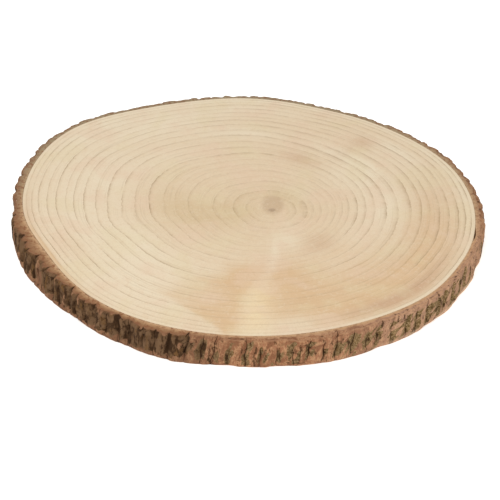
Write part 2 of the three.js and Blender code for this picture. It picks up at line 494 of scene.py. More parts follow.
def make_piece(name, points, face_groups, material, values):
    """A smooth mesh object at the origin from points in millimetres, groups of like-sided faces, a
    material, and one value or vector a point for each named attribute."""
    mesh = bpy.data.meshes.new(name)
    sides = np.concatenate([np.full(len(group), group.shape[1]) for group in face_groups])
    corners = np.concatenate([group.ravel() for group in face_groups])
    mesh.vertices.add(len(points))
    mesh.vertices.foreach_set("co", (points * MM).astype(np.float32).ravel())
    mesh.loops.add(len(corners))
    mesh.loops.foreach_set("vertex_index", corners.astype(np.int32))
    mesh.polygons.add(len(sides))
    mesh.polygons.foreach_set("loop_start", (np.cumsum(sides) - sides).astype(np.int32))
    mesh.update(calc_edges=True)
    if mesh.validate():
        raise RuntimeError(f"the surface of {name} holds faces that a mesh can't")
    for attribute_name, value in values.items():
        is_vector = value.ndim == 2
        kind, field = ("FLOAT_VECTOR", "vector") if is_vector else ("FLOAT", "value")
        attribute = mesh.attributes.new(attribute_name, kind, "POINT")
        attribute.data.foreach_set(field, value.astype(np.float32).ravel())
    mesh.shade_smooth()
    mesh.materials.append(material)
    piece = bpy.data.objects.new(name, mesh)
    bpy.context.scene.collection.objects.link(piece)
    return piece


# Shape of the wood

def ring_rows(rows_a_ring):
    """Shares and ages of the rows of points: a row on each year's dark line and a few between."""
    knots = np.array([0.0, *(ring.share for ring in RINGS), 1.0])
    ages = np.arange(len(knots), dtype=float)
    fine_ages = np.linspace(0, ages[-1], (len(knots) - 1) * rows_a_ring + 1)[1:]
    return np.interp(fine_ages, ages, knots), fine_ages


def ring_drift(share, bearing):
    """How far a year's line strays from its even course: named bulges, slow waves and small jags, all gone
    at the bark."""
    steps_round = bearing / FULL_TURN
    drift = np.zeros(share.shape)
    for bulge in BULGES:
        round_part = (turn(bulge.bearing, bearing) / bulge.reach) ** 2
        drift += bulge.size * np.exp(-round_part - ((share - bulge.share) / bulge.spread) ** 2)
    for (size, count), rows, seed in ((RING_WAVES, 9, 3), (RING_JAGS, 45, 8)):
        drift += 2 * size * (noise(steps_round * count, share * rows, count, seed) - 0.5)
    return drift * (1 - smooth(share, 0.95, 1.0)) * smooth(share, 0.0, 0.06)


def wood_plan(share, bearing):
    """A year's line seen from above: the trunk's outline shrunk by the share, about a centre that slides
    along an S-curve from the pith to the middle of the outline."""
    left = 1 - smooth(share, *CENTRE_SLIDE)
    x = OUTLINE_CENTRE[0] + left * (PITH[0] - OUTLINE_CENTRE[0])
    y = OUTLINE_CENTRE[1] + left * (PITH[1] - OUTLINE_CENTRE[1])
    radius = share * wood_radius(bearing)
    angle = np.radians(bearing)
    return x + radius * np.cos(angle), y + radius * np.sin(angle)


def stain_sum(stains, share, bearing):
    """The sum of a bell curve round each stain's middle."""
    total = np.zeros(share.shape)
    for stain in stains:
        round_part = (turn(stain.bearing, bearing) / stain.turn) ** 2
        total += stain.strength * np.exp(-round_part - ((share - stain.share) / stain.spread) ** 2)
    return total


def wood_tones(share, bearing):
    """Warm, brown and olive stains of each point. The wedge and the pale ray count as warm ones."""
    side = np.interp(share, WEDGE_SHARES, WEDGE_BEARINGS)
    blur = np.interp(share, WEDGE_SHARES, WEDGE_BLURS)
    wedge = smooth(bearing, side - blur, side + blur) * (1 - smooth(bearing, *WEDGE_END))
    ray = np.interp(share, RAY_SHARES, RAY_BEARINGS)
    ray = np.exp(-(turn(ray, bearing) / RAY_REACH) ** 2) * smooth(share, 0.15, 0.35)
    warm = stain_sum(WARM_STAINS, share, bearing)
    warm += WEDGE_STRENGTH * wedge * smooth(share, *WEDGE_INNER) + RAY_STRENGTH * ray
    olive = stain_sum(OLIVE_STAINS, share, bearing)
    olive += CENTRE_OLIVE[0] * np.exp(-(share / CENTRE_OLIVE[1]) ** 2)
    return np.stack([warm, stain_sum(BROWN_STAINS, share, bearing), olive], axis=-1)


def wood_side(height, rows_a_ring, ease):
    """One face of the disc as rows of points from the pith out, with what the points carry. The last row
    stands in from the edge by the ease."""
    shares, ages = ring_rows(rows_a_ring)
    bearing = np.arange(WOOD_COLUMNS) * FULL_TURN / WOOD_COLUMNS
    share, bearing = np.meshgrid(shares, bearing, indexing="ij")
    age = np.broadcast_to(ages[:, None], share.shape)
    drifted = share + ring_drift(share, bearing)
    x, y = wood_plan(drifted, bearing)
    eased = around(bearing[-1], wood_radius(bearing[-1]) - ease, 0)
    x[-1], y[-1] = eased[:, 0], eased[:, 1]
    from_pith = np.degrees(np.arctan2(y - PITH[1], x - PITH[0])) % FULL_TURN
    strengths = [0.0, *(ring.strength for ring in RINGS), 0.0]
    line = np.interp(age, np.arange(len(strengths)), strengths)
    line = line * np.interp(from_pith, LINE_BEARINGS, LINE_STRENGTHS, period=FULL_TURN)
    angle = np.radians(bearing)
    return {
        "points": np.stack([x, y, np.full(x.shape, height)], axis=-1),
        "rings": np.stack([np.cos(angle), np.sin(angle), age], axis=-1),
        "tones": wood_tones(drifted, from_pith),
        "share": drifted,
        "line": line,
    }


def wood_surface(settings):
    """One loop of rows: out over the base, up the edge with its eased corners, and in over the top. A fan
    of triangles closes the pith on both faces."""
    ease = settings.eased_edge / MM
    top, base = wood_side(THICKNESS, ROWS_A_RING, ease), wood_side(0.0, ROWS_A_RING // 2, ease)
    bearing = np.arange(WOOD_COLUMNS) * FULL_TURN / WOOD_COLUMNS

    def pith(side, height):
        values = {name: value[:1, 0] for name, value in side.items()}
        return {**values, "points": np.array([[*PITH, height]]), "share": np.zeros(1), "line": np.zeros(1)}

    def wall(height):
        values = {name: value[-1] for name, value in top.items()}
        return {**values, "points": around(bearing, wood_radius(bearing), height)}

    def flat(side, order=1):
        return {name: value[::order].reshape(-1, *value.shape[2:]) for name, value in side.items()}

    blocks = (
        pith(base, 0.0),
        flat(base),
        wall(ease),
        wall(THICKNESS - ease),
        flat(top, -1),
        pith(top, THICKNESS),
    )
    values = {name: np.concatenate([block[name] for block in blocks]) for name in top}
    points = values.pop("points")
    last = len(points) - 1
    faces = [
        grid_faces((last - 1) // WOOD_COLUMNS, WOOD_COLUMNS, first=1),
        fan_faces(0, 1, WOOD_COLUMNS, facing_up=False),
        fan_faces(last, last - WOOD_COLUMNS, WOOD_COLUMNS, facing_up=True),
    ]
    return points, faces, values


# Shape of the bark

def furrow_traits():
    """The traits of every furrow, as in the solids: each is drawn between its limits by a repeatable
    chance. The first furrow comes again at the end, a full turn further round."""
    order = np.arange(FURROWS + 1)
    number = order % FURROWS

    def between(limits, trait):
        return limits[0] + (limits[1] - limits[0]) * chance(number, trait)

    bearing = FULL_TURN / FURROWS * (order + SPACING_JITTER * (chance(number, 1) - 0.5))
    scale = relief_scale(bearing)
    flanks = [FLANK_HEIGHT * (chance(number, trait) - 0.5) * 2 * scale for trait in (9, 10)]
    is_level = chance(number, 11) < LEVEL_SHARE
    open_ended = OPEN_ENDED_SHARE + swell(MORE_OPEN_ENDED, bearing)
    before, after = (np.where(is_level, sum(flanks) / 2, flank) for flank in flanks)
    return {
        "bearing": bearing,
        "half_width": between(FURROW_HALF_WIDTH, 2),
        "depth": between(FURROW_DEPTH, 3) * scale * (1 + swell(DEEPER, bearing)),
        "foot": between(FURROW_FOOT, 4),
        "head": between(FURROW_HEAD, 6),
        "end": np.where(chance(number, 7) < open_ended, OPEN_END, SHALLOW_END),
        "lean": grain_lean(bearing) + LEAN_JITTER * (chance(number, 5) - 0.5),
        "phase": chance(number, 8),
        "flank_before": before,
        "flank_after": after,
    }


def furrowed_wall(heights):
    """Bearing and relief of the wall's points, how near each is to a furrow's bottom, and how near to its
    crack. Each furrow sinks to its depth along a rounded trough with a narrow crack in its middle, and the
    ridge after it rises in a low arch to the next furrow's lip. The foot of the wall is worn low."""
    furrow = furrow_traits()
    z = heights[:, None]
    fade_in = smooth(z, furrow["foot"] - FURROW_FADE, furrow["foot"] + FURROW_FADE)
    fade_out = 1 - smooth(z, furrow["head"] - FURROW_FADE, furrow["head"] + FURROW_FADE)
    open_share = furrow["end"] + (1 - furrow["end"]) * fade_in * fade_out
    wander = WANDER * np.sin(2 * math.pi * (z / WANDER_LENGTH + furrow["phase"]))
    sideways = furrow["lean"] * (z - THICKNESS / 2) + wander
    line = furrow["bearing"] + np.degrees(sideways / WOOD_RADIUS)
    half = np.degrees(furrow["half_width"] * (NARROW_END + (1 - NARROW_END) * open_share) / WOOD_RADIUS)

    step = np.array(FURROW_STEPS)
    narrow_crack = np.maximum(0, 1 - np.abs(step) / 0.3)
    trough = (1 - CRACK_SHARE) * (1 - step ** 2) ** 0.6 + CRACK_SHARE * narrow_crack
    flank_share = (step + 1) / 2
    here = {name: trait[:-1, None] for name, trait in furrow.items()}
    flank = here["flank_before"] * (1 - flank_share) + here["flank_after"] * flank_share
    openness = open_share[:, :-1, None]
    furrow_bearing = line[:, :-1, None] + half[:, :-1, None] * step
    furrow_relief = flank - here["depth"] * openness * trough

    along = np.arange(RIDGE_STEPS) / RIDGE_STEPS
    lip_after = (line + half)[:, :-1, None]
    next_lip = (line - half)[:, 1:, None]
    ridge_bearing = lip_after + (next_lip - lip_after) * along
    next_flank = furrow["flank_before"][1:, None]
    crown = 4 * CROWN_BULGE * along * (1 - along)
    ridge_relief = here["flank_after"] * (1 - along) + next_flank * along + crown

    def joined(furrow_part, ridge_part):
        furrow_part = np.broadcast_to(furrow_part, furrow_bearing.shape)
        ridge_part = np.broadcast_to(ridge_part, ridge_bearing.shape)
        return np.concatenate([furrow_part, ridge_part], axis=2).reshape(len(heights), -1)

    bearing = joined(furrow_bearing, ridge_bearing)
    if np.diff(bearing, axis=1).min() <= 0:
        raise RuntimeError("two furrows of the bark cross")
    worn = WORN_BASE + (1 - WORN_BASE) * smooth(z, 0, WORN_HEIGHT)
    relief = joined(furrow_relief, ridge_relief) * worn
    near_furrow = joined(0.35 + 0.65 * openness, np.abs(2 * along - 1) ** 1.5 * (0.35 + 0.65 * openness))
    crack_line = joined(np.maximum(0, 1 - np.abs(step) / 0.25) * openness, 0.0)
    return bearing, relief, near_furrow, crack_line


def by_bearing(values, bearing):
    """A value from one of the tables round the trunk, in straight lines between its bearings."""
    return np.interp(np.mod(bearing, FULL_TURN), SKIN_BEARINGS, values, period=FULL_TURN)


def grain_cells(bearing, z, waver):
    """Gives a function for the coordinates of a mark's noise, in cells of the mark's size that lean with
    the grain and waver sideways by so many millimetres."""
    bend = noise(bearing / FULL_TURN * WAVER_CELLS, z / WAVER_HEIGHT, WAVER_CELLS, 91)
    lean = (grain_lean(bearing) + swell(STREAK_LEANS, bearing)) * (z - THICKNESS / 2)
    upright = bearing - np.degrees((lean + waver * (bend - 0.5)) / WOOD_RADIUS)

    def cells(marks):
        period = round(2 * math.pi * WOOD_RADIUS / marks.width)
        return upright / FULL_TURN * period, z / marks.height, period, marks.seed

    return cells


def fine_cuts(cells, bearing, z, crack_line, rounding, settings):
    """How deep the fine relief is cut below the ridges and furrows, in millimetres: fibres, lumps, and
    flakes with open edges, all worn low at the foot, then the rounded sawn edges, chips along the top and
    scallops of the foot. Also gives each point's fibre and flake values and the flakes' open edges."""
    fibres = noise(*cells(FIBRES))
    lumps = layered_noise(*cells(LUMPS))
    flake, border = flakes(*cells(FLAKES))
    open_edge = (1 - smooth(border, 0.02, 0.16)) * smooth(noise(*cells(OPEN_EDGES)), 0.35, 0.6)
    fine = FIBRE_DEPTH * fibres + LUMP_DEPTH * (1 - lumps)
    fine += FLAKE_DEPTH * flake * (1 - crack_line) + OPEN_EDGE_DEPTH * open_edge
    fine *= settings.fine_relief * relief_scale(bearing)
    fine *= WORN_BASE + (1 - WORN_BASE) * smooth(z, 0, WORN_HEIGHT)
    most_wear = np.where(z < THICKNESS / 2, *EDGE_WEAR)
    wear = most_wear * (1 - np.sqrt(1 - rounding ** 2 * 0.999))
    chips = CHIP_DEPTH * smooth(noise(*cells(CHIPS)), 0.55, 0.9) * smooth(rounding, 0.0, 0.9)
    chips *= smooth(z, 0, THICKNESS)
    scallops = settings.foot_scallops / MM * smooth(noise(*cells(SCALLOPS)), 0.5, 0.85)
    scallops *= 1 - smooth(z, 0, SCALLOP_REACH)
    return fine + wear + chips + scallops, fibres, flake, open_edge


def weathering(cells, bearing, z, near_furrow, crack_line, open_edge, fibres):
    """How much of its weathered skin each point keeps, how near it is to a crack, and the upright streaks
    that both follow. The skin keeps to the furrows, in patches, and ends raggedly below the top and above
    the base. On the dark side the furrows' gouges count as cracks too, as dark as that side is: partly its
    own colour and partly painted shade."""
    patches = layered_noise(*cells(PATCHES)) - 0.5
    streaks = layered_noise(*cells(STREAKS), layers=2) - 0.5
    ragged = RAGGED_EDGE * streaks
    rubbed_top = by_bearing(SKIN_TOP, bearing)
    kept = smooth(z + ragged - by_bearing(SKIN_FOOT, bearing), -1.5, 1.0)
    kept = kept * smooth(THICKNESS - z + ragged, rubbed_top - 0.8, rubbed_top + 0.8)
    skin = by_bearing(SKIN_COVER, bearing) + 0.5 * near_furrow + 0.9 * patches + 1.3 * streaks
    weathered = smooth(skin, *SKIN_LIMITS) * kept
    gouge = smooth(near_furrow + 0.9 * patches + 1.5 * streaks, *GOUGE_LIMITS) * kept
    gouge = gouge * (0.20 + 0.75 * fibres) * by_bearing(SKIN_DARKNESS_AND_SHADE, bearing)
    crack = crack_line * (0.91 + 0.8 * streaks) + 0.5 * open_edge
    return weathered, np.clip(np.maximum(crack, gouge), 0, 1), streaks


def sawn_face(edge, inner, height, rim_wear):
    """Rows of points from the wall's edge straight in to the inner radius, with what they carry. Cracks
    run in from the wall as far as the rim has been rubbed."""
    across = np.linspace(0, 1, SAWN_ROWS + 1)[1:, None]
    radius = edge["radius"] + (inner - edge["radius"]) * across
    bearing = np.broadcast_to(edge["bearing"], radius.shape)
    past_wear = across - rim_wear * (1.0 + 1.2 * edge["streaks"])
    return {
        "points": around(bearing, radius, height),
        "weathered": np.zeros(radius.shape),
        "crack": edge["crack"] * (1 - smooth(past_wear, -0.15, 0.05)),
        "sawn": smooth(past_wear, -0.12, 0.12),
        "outward": np.broadcast_to(1 - across, radius.shape),
        "flake": np.broadcast_to(edge["flake"], radius.shape),
        "darkness": by_bearing(SKIN_DARKNESS_AND_SHADE, bearing),
        "greyed": by_bearing(RIM_GREY, bearing),
        "foot_highlight": np.zeros(radius.shape),
    }


def crack_gap(bearing):
    """How far the bark has come away from the wood: a parabola across each crack."""
    arches = [width * (1 - (turn(towards, bearing) / reach) ** 2) for towards, reach, width in CRACKS]
    return np.maximum(0, np.max(arches, axis=0))


def bark_surface(settings):
    """The ring of bark as a closed loop of rows: up the furrowed wall, in over the sawn top, down beside
    the wood and out under the base. Flakes, cracks and fibres are cut into the wall below its ridges."""
    up = np.linspace(0, 1, WALL_ROWS)
    heights = THICKNESS * (0.75 * up + 0.25 * (0.5 - 0.5 * np.cos(math.pi * up)))
    bearing, relief, near_furrow, crack_line = furrowed_wall(heights)
    z = heights[:, None] + np.zeros(bearing.shape)
    rounding = np.clip(1 - np.minimum(z, THICKNESS - z) / EDGE_BAND, 0, 1)
    cells = grain_cells(bearing, z, settings.grain_waver / MM)
    cuts, fibres, flake, open_edge = fine_cuts(cells, bearing, z, crack_line, rounding, settings)
    weathered, crack, streaks = weathering(cells, bearing, z, near_furrow, crack_line, open_edge, fibres)
    radius = wood_radius(bearing) + CAMBIUM_GAP + bark_thickness(bearing) + flare(bearing, z)
    radius = radius + relief - cuts
    # The dark side is darker partly in the bark's own colour and partly by painted shade
    darkness = by_bearing(SKIN_DARKNESS_AND_SHADE, bearing)
    wall = {
        "points": around(bearing, radius, z),
        "weathered": weathered,
        "crack": crack,
        "sawn": smooth(rounding, 0.55, 1.0) * (1 - 0.8 * darkness),
        "outward": np.ones(z.shape),
        "flake": flake,
        "darkness": darkness,
        "greyed": by_bearing(RIM_GREY, bearing),
        # A painted highlight along the foot, strongest at the right
        "foot_highlight": by_bearing(FOOT_HIGHLIGHT, bearing) * (1 - smooth(z - 2 * streaks, *FOOT_HIGHLIGHT_LIMITS)),
    }

    carried = {"bearing": bearing, "radius": radius, "crack": crack, "flake": flake, "streaks": streaks}

    def edge(row):
        return {name: value[row] for name, value in carried.items()}

    inner_top = wood_radius(bearing[-1]) + settings.seam / MM + crack_gap(bearing[-1])
    inner_base = wood_radius(bearing[0]) + settings.seam / MM
    top = sawn_face(edge(-1), inner_top, THICKNESS, by_bearing(RIM_WEAR, bearing[-1]))
    base = sawn_face(edge(0), inner_base, 0.0, 0.0)
    values = {name: np.concatenate([wall[name], top[name], base[name][::-1]]) for name in wall}
    points = values.pop("points")
    rows, columns = points.shape[:2]
    column = np.arange(columns)
    beside = (column + 1) % columns
    last = (rows - 1) * columns
    closing = np.stack([last + column, last + beside, beside, column], axis=-1)
    faces = np.concatenate([grid_faces(rows, columns), closing])
    return points.reshape(-1, 3), [faces], {name: value.ravel() for name, value in values.items()}


# Materials

def add(tree, kind, inputs, output=0, **settings):
    """Adds a node with its settings, gives each input its value or links it to the socket that feeds it,
    and returns the output with that name or place."""
    node = tree.nodes.new("ShaderNode" + kind)
    for name, value in settings.items():
        setattr(node, name, value)
    for name, value in inputs.items():
        socket = node.inputs[name]
        if isinstance(value, bpy.types.NodeSocket):
            tree.links.new(value, socket)
        else:
            socket.default_value = value
    return node.outputs[output]


def grain(millimetres):
    """The scale of a pattern whose marks are this far across, in whole marks to the metre."""
    return round(1 / (millimetres * MM))


RAMP = {"interpolation_type": "SMOOTHSTEP"}
COLOURS = {"data_type": "RGBA"}


def new_material(name):
    """An empty node material with a shader and an output."""
    material = bpy.data.materials.new(name)
    material.use_nodes = True
    tree = material.node_tree
    tree.nodes.clear()
    shader = tree.nodes.new("ShaderNodeBsdfPrincipled")
    output = tree.nodes.new("ShaderNodeOutputMaterial")
    tree.links.new(shader.outputs["BSDF"], output.inputs["Surface"])
    return material, tree, shader


def sanded_end_grain(colours):
    """Pale softwood cut across and sanded, left bare. It gives the eye thin year lines that are sharp on
    the left and soft on the right, warm, brown and pale stains, short rays, and almost no shine."""
    material, tree, shader = new_material("sanded_end_grain")
    place = add(tree, "TexCoord", {}, "Object")
    rings = add(tree, "Attribute", {}, "Vector", attribute_name="rings")
    tones = add(tree, "Attribute", {}, "Vector", attribute_name="tones")
    share = add(tree, "Attribute", {}, "Fac", attribute_name="share")
    strength = add(tree, "Attribute", {}, "Fac", attribute_name="line")
    east, north, even_age = (add(tree, "SeparateXYZ", {0: rings}, axis) for axis in "XYZ")
    warm, brown, olive = (add(tree, "SeparateXYZ", {0: tones}, axis) for axis in "XYZ")

    # Year lines waver by a few tenths of a millimetre over lengths of 4 mm
    waver = add(tree, "TexNoise", {"Vector": place, "Scale": grain(4.17), "Detail": 4.0, "Roughness": 0.6})
    waver = add(tree, "Math", {0: waver, 1: 0.24, 2: -0.12}, operation="MULTIPLY_ADD")
    age = add(tree, "Math", {0: even_age, 1: waver}, operation="ADD")
    year = add(tree, "Math", {0: age}, operation="FLOOR")
    in_year = add(tree, "Math", {0: age}, operation="FRACT")
    toward = add(tree, "VectorMath", {0: rings, 1: (0.78, 0.62, 0.0)}, "Value", operation="DOT_PRODUCT")
    sharpness = add(tree, "MapRange", {0: toward, 1: 0.0, 2: 0.9, 3: 11.0, 4: 5.0}, **RAMP)
    firmness = add(tree, "MapRange", {0: share, 1: 0.12, 2: 0.45, 3: 0.35, 4: 1.0}, **RAMP)
    sharpness = add(tree, "Math", {0: sharpness, 1: firmness}, operation="MULTIPLY")
    line = add(tree, "Math", {0: in_year, 1: sharpness}, operation="POWER")
    late = add(tree, "Math", {0: in_year, 1: 2.2}, operation="POWER")

    # Along each year's line the contrast comes and goes
    depth = add(tree, "Math", {0: year, 1: 3.7}, operation="MULTIPLY")
    along = add(tree, "CombineXYZ", {0: east, 1: north, 2: depth})
    contrast = add(tree, "TexNoise", {"Vector": along, "Scale": 4.5, "Detail": 4.0, "Roughness": 0.7})
    contrast = add(tree, "MapRange", {0: contrast, 1: 0.36, 2: 0.66, 3: 0.15, 4: 1.0}, **RAMP)
    line = add(tree, "Math", {0: line, 1: strength}, operation="MULTIPLY")
    line_shade = add(tree, "Math", {0: line, 1: contrast}, operation="MULTIPLY")
    late_shade = add(tree, "Math", {0: late, 1: 0.11}, operation="MULTIPLY")

    # Faint bands that follow the years, rays 1 mm wide that cross them, fibres 1 mm across, mottling of
    # 3 mm, and rosy and straw-coloured patches of 3 cm. Real fibres are far finer and wouldn't show.
    across = add(tree, "VectorMath", {0: rings, 1: (1.1, 1.1, 3.0)}, operation="MULTIPLY")
    bands = add(tree, "TexNoise", {"Vector": across, "Scale": 1.0, "Detail": 4.0, "Roughness": 0.6})
    bands = add(tree, "MapRange", {0: bands, 1: 0.45, 2: 0.75, 3: 0.0, 4: 0.30}, **RAMP)
    threads = add(tree, "VectorMath", {0: rings, 1: (2.0, 2.0, 9.0)}, operation="MULTIPLY")
    threads = add(tree, "TexNoise", {"Vector": threads, "Scale": 1.0, "Detail": 2.0})
    threads = add(tree, "MapRange", {0: threads, 1: 0.56, 2: 0.68, 3: 0.0, 4: 0.14}, **RAMP)
    cross = add(tree, "VectorMath", {0: rings, 1: (150.0, 150.0, 1.1)}, operation="MULTIPLY")
    rays = add(tree, "TexNoise", {"Vector": cross, "Scale": 1.0, "Detail": 2.0})
    rays = add(tree, "MapRange", {0: rays, 1: 0.45, 2: 0.75}, **RAMP)
    near_bark = add(tree, "MapRange", {0: share, 1: 0.80, 2: 1.0, 3: 0.06, 4: 0.20}, **RAMP)
    rays = add(tree, "Math", {0: rays, 1: near_bark}, operation="MULTIPLY")
    fibres = add(tree, "TexNoise", {"Vector": place, "Scale": grain(1.111), "Detail": 3.0})
    fibre_shade = add(tree, "MapRange", {0: fibres, 1: 0.48, 2: 0.72, 3: 0.0, 4: 0.12}, **RAMP)
    mottle = add(tree, "TexNoise", {"Vector": place, "Scale": grain(3.03), "Detail": 3.0, "Roughness": 0.7})
    dark_mottle = add(tree, "MapRange", {0: mottle, 1: 0.50, 2: 0.72, 3: 0.0, 4: 0.22}, **RAMP)
    pale_mottle = add(tree, "MapRange", {0: mottle, 1: 0.50, 2: 0.30, 3: 0.0, 4: 0.25}, **RAMP)
    hue = add(tree, "TexNoise", {"Vector": place, "Scale": grain(29.4), "Detail": 2.0})
    pink = add(tree, "MapRange", {0: hue, 1: 0.52, 2: 0.68, 3: 0.0, 4: 0.45}, **RAMP)
    yellow = add(tree, "MapRange", {0: hue, 1: 0.48, 2: 0.34, 3: 0.0, 4: 0.30}, **RAMP)

    # Dark flecks under a millimetre across and about 7 mm apart, in sparse groups
    flecks = add(tree, "TexVoronoi", {"Vector": place, "Scale": grain(6.67)})
    flecks = add(tree, "MapRange", {0: flecks, 1: 0.03, 2: 0.10, 3: 0.5, 4: 0.0}, **RAMP)
    sparse = add(tree, "TexNoise", {"Vector": place, "Scale": grain(16.7), "Detail": 1.0})
    sparse = add(tree, "MapRange", {0: sparse, 1: 0.55, 2: 0.65}, **RAMP)
    flecks = add(tree, "Math", {0: flecks, 1: sparse}, operation="MULTIPLY")

    # The grey heart and the pith are soft-edged ellipses
    def spot(middle, reach, low, high, most):
        shift = [-place_mm / half for place_mm, half in zip(middle, reach)]
        scale = [1 / (half * MM) for half in reach]
        inside = add(tree, "Mapping", {"Vector": place, "Location": (*shift, 0), "Scale": (*scale, 0)})
        inside = add(tree, "VectorMath", {0: inside}, "Value", operation="LENGTH")
        return add(tree, "MapRange", {0: inside, 1: low, 2: high, 3: most, 4: 0.0}, **RAMP)

    heart = spot(HEART_MIDDLE, HEART_REACH, 0.60, 1.15, 0.95)
    pith = spot(PITH_MIDDLE, PITH_REACH, 0.5, 1.2, 0.95)

    # Each stain has one colour above 0 and another below it
    tan = add(tree, "Math", {0: warm, 1: bands}, operation="ADD", use_clamp=True)
    pale = add(tree, "Math", {0: warm, 1: -1.0}, operation="MULTIPLY", use_clamp=True)
    dull = add(tree, "Math", {0: olive, 1: 0.0}, operation="ADD", use_clamp=True)
    straw = add(tree, "Math", {0: olive, 1: -1.0}, operation="MULTIPLY", use_clamp=True)
    rim = add(tree, "MapRange", {0: share, 1: 0.986, 2: 0.994, 3: 0.0, 4: 0.18}, **RAMP)
    colour = colours.cream
    for cover, tint in (
        (tan, colours.tan),
        (pale, colours.pale),
        (straw, colours.straw),
        (dull, colours.olive),
        (brown, colours.brown),
        (pink, colours.pink),
        (yellow, colours.yellow),
        (heart, colours.heart),
        (pith, colours.pith),
        (dark_mottle, colours.tan),
        (pale_mottle, colours.pale),
        (late_shade, colours.tan),
        (rays, colours.tan),
        (threads, colours.year_line),
        (line_shade, colours.year_line),
        (fibre_shade, colours.year_line),
        (flecks, colours.pith),
        (rim, colours.pale),
    ):
        colour = add(tree, "Mix", {0: cover, 6: colour, 7: tint}, 2, **COLOURS)

    normal = add(tree, "Bump", {"Strength": 0.2, "Distance": 0.1 * MM, "Height": fibres})
    roughness = add(tree, "MapRange", {0: fibres, 3: 0.60, 4: 0.74})
    tree.links.new(normal, shader.inputs["Normal"])
    tree.links.new(colour, shader.inputs["Base Color"])
    tree.links.new(roughness, shader.inputs["Roughness"])
    shader.inputs["Specular IOR Level"].default_value = 0.3
    return material


